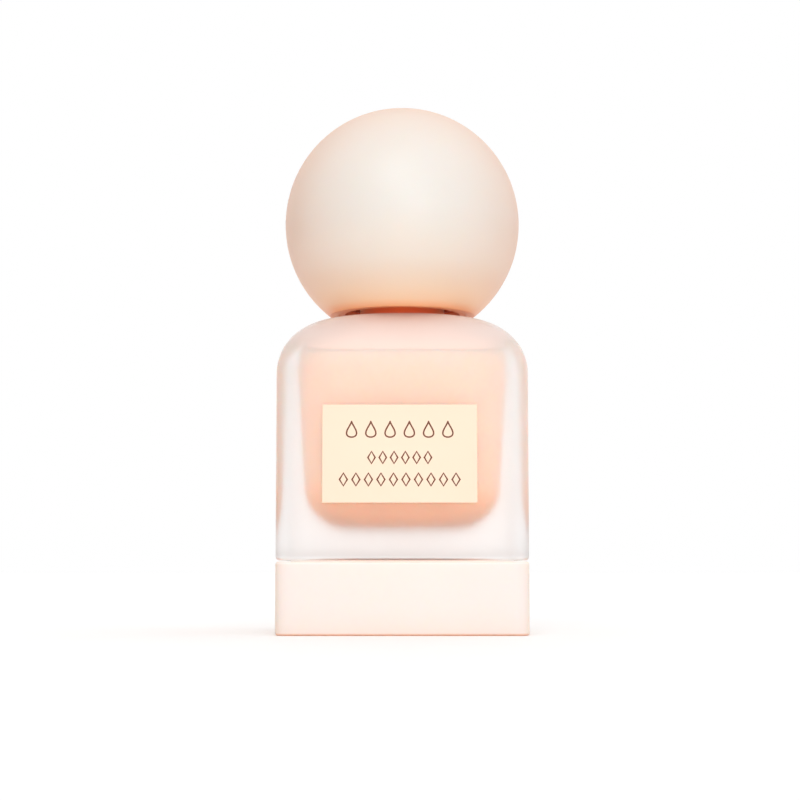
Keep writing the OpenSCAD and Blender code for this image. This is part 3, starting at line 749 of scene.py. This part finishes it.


# ---------------------------------------------------------------------------------------
# Return spring. Round steel wire wound to an open helix, its end half-turns closed flat.
# It stands on the housing's floor; on the real pump it shortens as the stem comes down, but here it is
# one fixed wire.

def spring_tree(metal):
    """A round wire wound to a helix that stands at Foot and climbs by Rise. The closed
    share of its length at each end lies flat."""
    tree = bpy.data.node_groups.new("wound_spring", "GeometryNodeTree")
    sockets = {}
    for name, value in (("Turns", 7.0), ("Radius", MM), ("Wire", MM), ("Foot", 0.0),
                        ("Rise", MM), ("Closed share", 0.07)):
        item = tree.interface.new_socket(name, in_out="INPUT", socket_type="NodeSocketFloat")
        item.default_value = value
        sockets[name] = item.identifier
    tree.interface.new_socket("Geometry", in_out="OUTPUT", socket_type="NodeSocketGeometry")
    nodes, links = tree.nodes, tree.links
    given = nodes.new("NodeGroupInput")
    helix = nodes.new("GeometryNodeCurveSpiral")
    helix.inputs["Resolution"].default_value = 40
    helix.inputs["Height"].default_value = 0
    links.new(given.outputs["Turns"], helix.inputs["Rotations"])
    links.new(given.outputs["Radius"], helix.inputs["Start Radius"])
    links.new(given.outputs["Radius"], helix.inputs["End Radius"])
    along = nodes.new("GeometryNodeSplineParameter")
    climb = nodes.new("ShaderNodeMapRange")
    open_end = reckon(tree, "SUBTRACT", 1, given.outputs["Closed share"])
    top = reckon(tree, "ADD", given.outputs["Foot"], given.outputs["Rise"])
    links.new(along.outputs["Factor"], climb.inputs["Value"])
    links.new(given.outputs["Closed share"], climb.inputs["From Min"])
    links.new(open_end, climb.inputs["From Max"])
    links.new(given.outputs["Foot"], climb.inputs["To Min"])
    links.new(top, climb.inputs["To Max"])
    lift = nodes.new("ShaderNodeCombineXYZ")
    links.new(climb.outputs["Result"], lift.inputs["Z"])
    raise_it = nodes.new("GeometryNodeSetPosition")
    links.new(helix.outputs[0], raise_it.inputs["Geometry"])
    links.new(lift.outputs[0], raise_it.inputs["Offset"])
    wire = nodes.new("GeometryNodeCurvePrimitiveCircle")
    wire.inputs["Resolution"].default_value = 12
    links.new(reckon(tree, "MULTIPLY", given.outputs["Wire"], 0.5), wire.inputs["Radius"])
    draw = nodes.new("GeometryNodeCurveToMesh")
    draw.inputs["Fill Caps"].default_value = True
    links.new(raise_it.outputs[0], draw.inputs["Curve"])
    links.new(wire.outputs[0], draw.inputs["Profile Curve"])
    realize = nodes.new("GeometryNodeRealizeInstances")
    links.new(draw.outputs[0], realize.inputs[0])
    paint = nodes.new("GeometryNodeSetMaterial")
    paint.inputs["Material"].default_value = metal
    links.new(realize.outputs[0], paint.inputs["Geometry"])
    out = nodes.new("NodeGroupOutput")
    links.new(paint.outputs[0], out.inputs[0])
    return tree, sockets


spring_low, spring_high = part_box("return_spring")
wire_d = 0.5 * MM
spring_turns = 7
coils, coil_inputs = spring_tree(steel)
spring = grown("return_spring_wire", coils, coil_inputs, Turns=float(spring_turns),
               Radius=spring_high.x - wire_d / 2, Wire=wire_d, Foot=spring_low.z + wire_d / 2,
               Rise=spring_high.z - spring_low.z - wire_d, Closed_share=0.5 / spring_turns)
stroke = 4.0 * MM
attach(spring, "pump")
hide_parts("return_spring")
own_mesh(spring)


# ---------------------------------------------------------------------------------------
# Screw closure and its sleeve. The closure is terracotta polypropylene, moulded with the
# inner thread. The sleeve pressed over it is drawn aluminium, brushed and anodised copper.

closure_pp = moulded("closure_polypropylene", (0.52, 0.08, 0.025), (0.46, 0.07, 0.02), 0.4,
                     grain=0.5)
finish_with(frame["nodes"]["screw_closure"], closure_pp)
copper = drawn_metal("copper_aluminium", (0.90, 0.36, 0.19), 0.26, stretch=(0.6, 0.6, 12))
finish_with(frame["nodes"]["collar_sleeve"], copper)


# ---------------------------------------------------------------------------------------
# Actuator. The finger button with its nozzle, moulded in satin cream plastic and pressed
# on the pump's stem.

actuator_cream = moulded("actuator_cream", (0.95, 0.87, 0.78), (0.935, 0.85, 0.755), 0.36,
                         grain=0.9, subsurface=0.25)
finish_with(frame["nodes"]["actuator"], actuator_cream)


# ---------------------------------------------------------------------------------------
# Ball cap. Two moulded halves, glued at the equator, filled and sprayed over with a satin
# peach-cream lacquer, so that the ball is one seamless skin down to the flat rim. The
# deep peach liner inside grips the collar.

bowl_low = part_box("cap_bowl")[0]
dome_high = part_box("cap_dome")[1]
ball_r = dome_high.x
ball_z = dome_high.z - ball_r
rim_z = bowl_low.z
rim_edge = 0.3 * MM
ball_wall = 2.0 * MM
seat_r = 11.87 * MM         # the bore that the liner is pressed into
seat_h = 8.0 * MM
seat_bevel = 0.1 * MM


def ball_profile():
    """Radius and height from the top pole, down the outside, round the rim and back inside."""
    inner_r = ball_r - ball_wall
    rim_fall = ball_z - rim_z
    # the edge's small arc touches the ball inside and the rim's plane
    centre_fall = rim_fall - rim_edge
    centre_r = sqrt((ball_r - rim_edge) ** 2 - centre_fall ** 2)
    touch = asin(-centre_fall / (ball_r - rim_edge)) * 180 / pi
    skin = arc((0, ball_z), ball_r, 90, touch, 96)[1:]
    edge = arc((centre_r, rim_z + rim_edge), rim_edge, touch, -90, 8)[1:]
    inside_start = asin((rim_z + seat_h - ball_z) / inner_r) * 180 / pi
    inside = arc((0, ball_z), inner_r, inside_start, 90, 48)[:-1]
    return skin + edge + [(centre_r - hold, rim_z), (seat_r + seat_bevel, rim_z),
                          (seat_r, rim_z + seat_bevel), (seat_r, rim_z + seat_h)] + inside


rings = [[(0, 0, ball_z + ball_r)]] + [circle(r, z) for r, z in ball_profile()]
rings.append([(0, 0, ball_z + ball_r - ball_wall)])
rings.reverse()
ball = loft("ball_cap", rings)
# painted light and shade: orange at the rim, peach under the equator, cream above it and paler towards
# the lit top; the edge tint is painted shade on the sides
ball_painted_light = [(rim_z, (0.90, 0.46, 0.22)), (rim_z + 1.2 * MM, (0.89, 0.74, 0.54)),
              (rim_z + 4.5 * MM, (0.79, 0.665, 0.545)), (rim_z + 8 * MM, (0.79, 0.725, 0.645)),
              (ball_z, (0.79, 0.77, 0.735)), (ball_z + ball_r, (0.86, 0.905, 0.885))]
lacquer = moulded("peach_cream_lacquer", (1.0, 1.0, 1.0), (0.99, 0.985, 0.975), 0.35,
                  grain=1.6, subsurface=0.25, fade=ball_painted_light, edge=(0.97, 0.58, 0.41))
finish_with(ball, lacquer)
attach(ball, "cap")
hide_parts("cap_bowl", "cap_dome")

liner_peach = moulded("liner_peach", (0.88, 0.36, 0.19), (0.85, 0.34, 0.175), 0.5, grain=0.7)
finish_with(frame["nodes"]["cap_liner"], liner_peach)


# ---------------------------------------------------------------------------------------
# Studio. A plain pale floor and a surround that is warmer and dimmer on the left. A soft
# key and a lower fill come from the front, a strip stands behind the right, and a narrow
# peach bounce lights the bottle's front from close to the floor.

floor_half = 3.0
floor_mesh = bpy.data.meshes.new("floor")
floor_mesh.from_pydata([(-floor_half, -floor_half, 0), (floor_half, -floor_half, 0),
                        (floor_half, floor_half, 0), (-floor_half, floor_half, 0)],
                       [], [(0, 1, 2, 3)])
floor = bpy.data.objects.new("floor", floor_mesh)
bpy.context.scene.collection.objects.link(floor)
finish_with(floor, moulded("pale_floor", (0.99, 0.995, 1.0), (0.98, 0.985, 0.99), 0.7, grain=5))


def studio_world():
    """White for what the camera sees; for light and reflections, a surround that goes from
    a warm dim left to a cooler right, and is white behind the bottle and overhead."""
    world = bpy.data.worlds.new("studio")
    world.use_nodes = True
    bpy.context.scene.world = world
    nodes, links = world.node_tree.nodes, world.node_tree.links
    back = nodes["Background"]
    place = nodes.new("ShaderNodeTexCoord")
    split = nodes.new("ShaderNodeSeparateXYZ")
    links.new(place.outputs["Generated"], split.inputs[0])
    across = nodes.new("ShaderNodeMapRange")
    across.inputs["From Min"].default_value = -0.9
    across.inputs["From Max"].default_value = 0.9
    links.new(split.outputs["X"], across.inputs["Value"])
    sides = nodes.new("ShaderNodeValToRGB")
    sides.color_ramp.elements[0].color = (0.34, 0.22, 0.16, 1)
    sides.color_ramp.elements[1].color = (0.62, 0.64, 0.66, 1)
    middle = sides.color_ramp.elements.new(0.4)
    middle.color = (0.50, 0.47, 0.44, 1)
    links.new(across.outputs["Result"], sides.inputs["Fac"])
    overhead = nodes.new("ShaderNodeMapRange")
    overhead.inputs["From Min"].default_value = 0.1
    overhead.inputs["From Max"].default_value = 0.9
    links.new(split.outputs["Z"], overhead.inputs["Value"])
    behind = nodes.new("ShaderNodeMapRange")
    behind.inputs["From Min"].default_value = 0.6
    behind.inputs["From Max"].default_value = 0.95
    links.new(split.outputs["Y"], behind.inputs["Value"])
    wall = nodes.new("ShaderNodeMix")
    wall.data_type = "RGBA"
    links.new(behind.outputs["Result"], wall.inputs["Factor"])
    links.new(sides.outputs["Color"], wall.inputs["A"])
    wall.inputs["B"].default_value = (1.0, 0.99, 0.98, 1)
    mix = nodes.new("ShaderNodeMix")
    mix.data_type = "RGBA"
    links.new(overhead.outputs["Result"], mix.inputs["Factor"])
    links.new(wall.outputs["Result"], mix.inputs["A"])
    mix.inputs["B"].default_value = (1.1, 1.1, 1.1, 1)
    seen = nodes.new("ShaderNodeLightPath")
    plain = nodes.new("ShaderNodeMix")
    plain.data_type = "RGBA"
    links.new(seen.outputs["Is Camera Ray"], plain.inputs["Factor"])
    links.new(mix.outputs["Result"], plain.inputs["A"])
    plain.inputs["B"].default_value = (1, 1, 1, 1)
    links.new(plain.outputs["Result"], back.inputs["Color"])


studio_world()


def lamp(name, kind, power, colour):
    """A light of that kind, put in the scene. Returns its object."""
    data = bpy.data.lights.new(name, kind)
    data.energy = power
    data.color = colour
    light = bpy.data.objects.new(name, data)
    bpy.context.scene.collection.objects.link(light)
    return light


def point_away(light, away):
    """Turns a light so that its back looks along away, and so shines the other way."""
    light.rotation_mode = "QUATERNION"
    light.rotation_quaternion = away.to_track_quat("Z", "Y")


def sun(name, height, turn, spread, power, colour):
    """Far soft light from the front: its height and its turn to the side, in degrees."""
    light = lamp(name, "SUN", power, colour)
    light.data.angle = radians(spread)
    light.rotation_euler = (radians(90 - height), 0, radians(turn))


sun("key", height=42, turn=-8, spread=35, power=0.5, colour=(1.0, 0.99, 0.98))
sun("fill", height=12, turn=12, spread=30, power=0.4, colour=(1.0, 0.97, 0.95))

strip_side = radians(125)   # from the front, round by the right
strip_height = radians(12)
strip_distance = 0.45
strip_aim = Vector((0, 0, 0.06))
strip_way = Vector((sin(strip_side) * cos(strip_height), -cos(strip_side) * cos(strip_height),
                    sin(strip_height)))
strip = lamp("strip_right", "AREA", 0.045, (1.0, 0.98, 0.96))
strip.data.shape = "RECTANGLE"
strip.data.size = 0.12
strip.data.size_y = 0.36
strip.location = strip_aim + strip_way * strip_distance
strip.visible_camera = False
point_away(strip, strip_way)

bounce_aim = Vector((0, 0, 35 * MM))
bounce = lamp("peach_bounce", "SPOT", 0.7, (1.0, 0.42, 0.16))
bounce.data.spot_size = radians(18)
bounce.data.spot_blend = 1.0
bounce.data.shadow_soft_size = 0.02
bounce.location = (0, -0.30, 0.012)
point_away(bounce, bounce.location - bounce_aim)

camera_tilt = 5.3           # degrees upwards
camera_data = bpy.data.cameras.new("camera")
camera_data.lens = 81
camera_data.sensor_width = 36
camera_data.clip_start = 0.01
camera = bpy.data.objects.new("camera", camera_data)
camera.location = (-0.0004, -0.3329, 0.01177)
camera.rotation_euler = (radians(90 + camera_tilt), 0, 0)
bpy.context.scene.collection.objects.link(camera)
bpy.context.scene.camera = camera
bpy.context.scene.view_settings.view_transform = "Standard"
